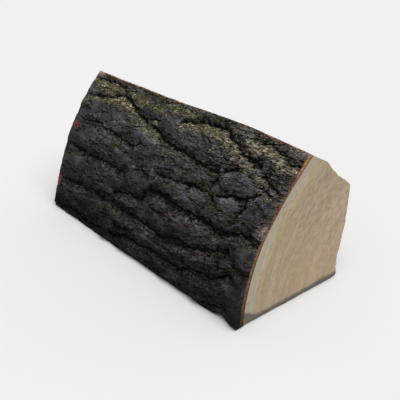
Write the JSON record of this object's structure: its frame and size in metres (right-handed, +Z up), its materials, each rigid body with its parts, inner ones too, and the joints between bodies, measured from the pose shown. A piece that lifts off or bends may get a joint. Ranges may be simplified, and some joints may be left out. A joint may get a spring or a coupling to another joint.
{
  "type": "split log",
  "caption": "Split firewood log, sawn at both ends and split lengthwise, with rough plated bark on its curved side, lying on a split face.",
  "frame": {"origin": "middle of the bottom of the log's box", "axes": "+X along the grain to the near sawn end, +Y away from the bark, +Z up"},
  "size_m": [0.33, 0.1528, 0.16],
  "materials": {
    "wood": "pale sawn and split wood, dry and matt",
    "bark": "dark grey-brown rough bark, matt"
  },
  "bodies": {
    "root": {"wood": "wood", "bark": "bark"}
  },
  "joints": []
}
